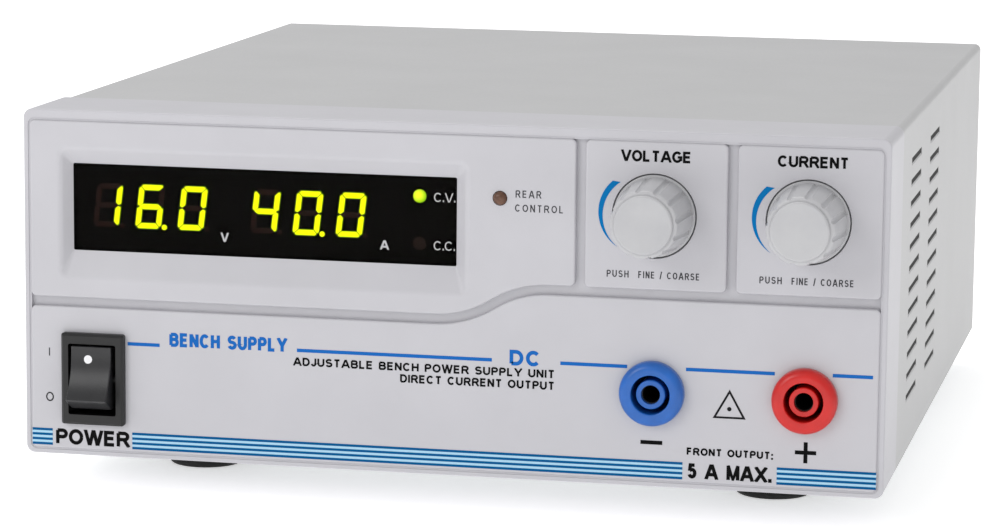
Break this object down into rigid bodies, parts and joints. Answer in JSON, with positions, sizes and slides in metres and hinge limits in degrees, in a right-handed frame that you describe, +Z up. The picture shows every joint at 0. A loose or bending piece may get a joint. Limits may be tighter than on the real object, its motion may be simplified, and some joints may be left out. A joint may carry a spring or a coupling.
{
  "type": "bench power supply",
  "caption": "Bench power supply in a louvred steel case with a moulded front carrying digit displays, two fluted knobs, a rocker switch and output sockets.",
  "frame": {"origin": "on the standing surface, at the middle of the overall width and depth, knobs and rear studs included", "axes": "+Z up; +X to the right seen from the front; +Y to the back, so the front faces -Y"},
  "size_m": [0.201, 0.255, 0.0905],
  "materials": {
    "fascia": "satin",
    "smoked_pane": "gloss",
    "circuit_board": "satin",
    "plated_steel": "satin",
    "display_block": "matte",
    "lamp_lit": "gloss",
    "lamp_dark": "gloss",
    "black_plastic": "satin",
    "brass_plated": "polished",
    "painted_steel": "satin",
    "galvanised": "satin",
    "rubber_feet": "matte",
    "chrome_wire": "polished",
    "glass_fuse": "gloss",
    "white_plastic": "satin",
    "aluminium": "satin",
    "ferrite": "matte",
    "tape_yellow": "satin",
    "copper_winding": "satin",
    "can_sleeve": "satin",
    "knob_plastic": "satin",
    "blue_plastic": "satin",
    "red_plastic": "satin"
  },
  "bodies": {
    "case": {"board_screws": "plated_steel", "bottom_chassis": "galvanised", "capacitors": "can_sleeve", "cc_led": "lamp_dark", "current_display": "display_block", "cv_led": "lamp_lit", "display_window": "smoked_pane", "encoder_bodies": "plated_steel", "fan_frame": "black_plastic", "fan_guard": "chrome_wire", "feet": "rubber_feet", "front_bezel": "fascia", "front_board": "circuit_board", "front_nuts": "plated_steel", "heatsinks": "aluminium", "inlet_body": "black_plastic", "inlet_pins": "brass_plated", "main_board": "circuit_board", "mains_filter": "white_plastic", "negative_socket": "blue_plastic", "output_choke": "copper_winding", "output_contacts": "brass_plated", "positive_socket": "red_plastic", "power_transistors": "black_plastic", "rear_control_bodies": "black_plastic", "rear_control_led": "lamp_dark", "rear_fasteners": "plated_steel", "rear_panel": "painted_steel", "remote_insert": "black_plastic", "remote_shell": "plated_steel", "rocker_pin": "plated_steel", "standoffs": "brass_plated", "switch_frame": "black_plastic", "switch_tabs": "brass_plated", "terminal_base": "black_plastic", "terminal_studs": "plated_steel", "top_cover": "painted_steel", "transformer_core": "ferrite", "transformer_winding": "tape_yellow", "underside_screws": "plated_steel", "voltage_display": "display_block"},
    "rocker": {"power_rocker": "black_plastic"},
    "voltage_push": {"voltage_plunger": "white_plastic"},
    "voltage_turn": {"voltage_knob": "knob_plastic", "voltage_knob_cap": "knob_plastic", "voltage_shaft": "aluminium"},
    "current_push": {"current_plunger": "white_plastic"},
    "current_turn": {"current_knob": "knob_plastic", "current_knob_cap": "knob_plastic", "current_shaft": "aluminium"},
    "fan": {"fan_rotor": "black_plastic"},
    "mode": {"mode_lever": "white_plastic"},
    "voltage_trim": {"voltage_trimmer": "white_plastic"},
    "current_trim": {"current_trimmer": "white_plastic"},
    "negative_carrier": {"negative_terminal_washer": "plated_steel"},
    "negative_nut": {"negative_terminal_cap": "black_plastic"},
    "positive_carrier": {"positive_terminal_washer": "plated_steel"},
    "positive_nut": {"positive_terminal_cap": "red_plastic"},
    "drawer": {"fuse_drawer": "black_plastic", "fuse": "glass_fuse"}
  },
  "joints": [
    {"name": "power_rocker", "type": "hinge", "parent": "case", "child": "rocker", "pos_m": [-0.0836, -0.1121, 0.0279], "axis": [1, 0, 0], "range_deg": [0, 40]},
    {"name": "voltage_push", "type": "slide", "parent": "case", "child": "voltage_push", "axis": [0, 1, 0], "range_m": [0, 0.0015], "stiffness_N_per_m": 400, "springref_m": -0.001},
    {"name": "voltage_turn", "type": "hinge", "parent": "voltage_push", "child": "voltage_turn", "pos_m": [0.0477, -0.1125, 0.0713], "axis": [0, 1, 0], "continuous": true},
    {"name": "current_push", "type": "slide", "parent": "case", "child": "current_push", "axis": [0, 1, 0], "range_m": [0, 0.0015], "stiffness_N_per_m": 400, "springref_m": -0.001},
    {"name": "current_turn", "type": "hinge", "parent": "current_push", "child": "current_turn", "pos_m": [0.0824, -0.1125, 0.0713], "axis": [0, 1, 0], "continuous": true},
    {"name": "fan_spin", "type": "hinge", "parent": "case", "child": "fan", "pos_m": [0.058, 0.1055, 0.05], "axis": [0, 1, 0], "continuous": true},
    {"name": "mode_slide", "type": "slide", "parent": "case", "child": "mode", "axis": [1, 0, 0], "range_m": [0, 0.004]},
    {"name": "voltage_trim_turn", "type": "hinge", "parent": "case", "child": "voltage_trim", "pos_m": [0.006, 0.1135, 0.073], "axis": [0, 1, 0], "range_deg": [-135, 135]},
    {"name": "current_trim_turn", "type": "hinge", "parent": "case", "child": "current_trim", "pos_m": [0.017, 0.1135, 0.073], "axis": [0, 1, 0], "range_deg": [-135, 135]},
    {"name": "negative_nut_travel", "type": "slide", "parent": "case", "child": "negative_carrier", "axis": [0, 1, 0], "range_m": [0, 0.00375]},
    {"name": "negative_nut_turn", "type": "hinge", "parent": "negative_carrier", "child": "negative_nut", "pos_m": [-0.028, 0.1135, 0.038], "axis": [0, 1, 0], "range_deg": [0, 1081]},
    {"name": "positive_nut_travel", "type": "slide", "parent": "case", "child": "positive_carrier", "axis": [0, 1, 0], "range_m": [0, 0.00375]},
    {"name": "positive_nut_turn", "type": "hinge", "parent": "positive_carrier", "child": "positive_nut", "pos_m": [0.002, 0.1135, 0.038], "axis": [0, 1, 0], "range_deg": [0, 1081]},
    {"name": "fuse_drawer", "type": "slide", "parent": "case", "child": "drawer", "axis": [0, 1, 0], "range_m": [0, 0.014]}
  ],
  "couplings": [
    {"joint": "negative_nut_turn", "follows": "negative_nut_travel", "rad_per_m": 5026.5},
    {"joint": "positive_nut_turn", "follows": "positive_nut_travel", "rad_per_m": 5026.5}
  ]
}
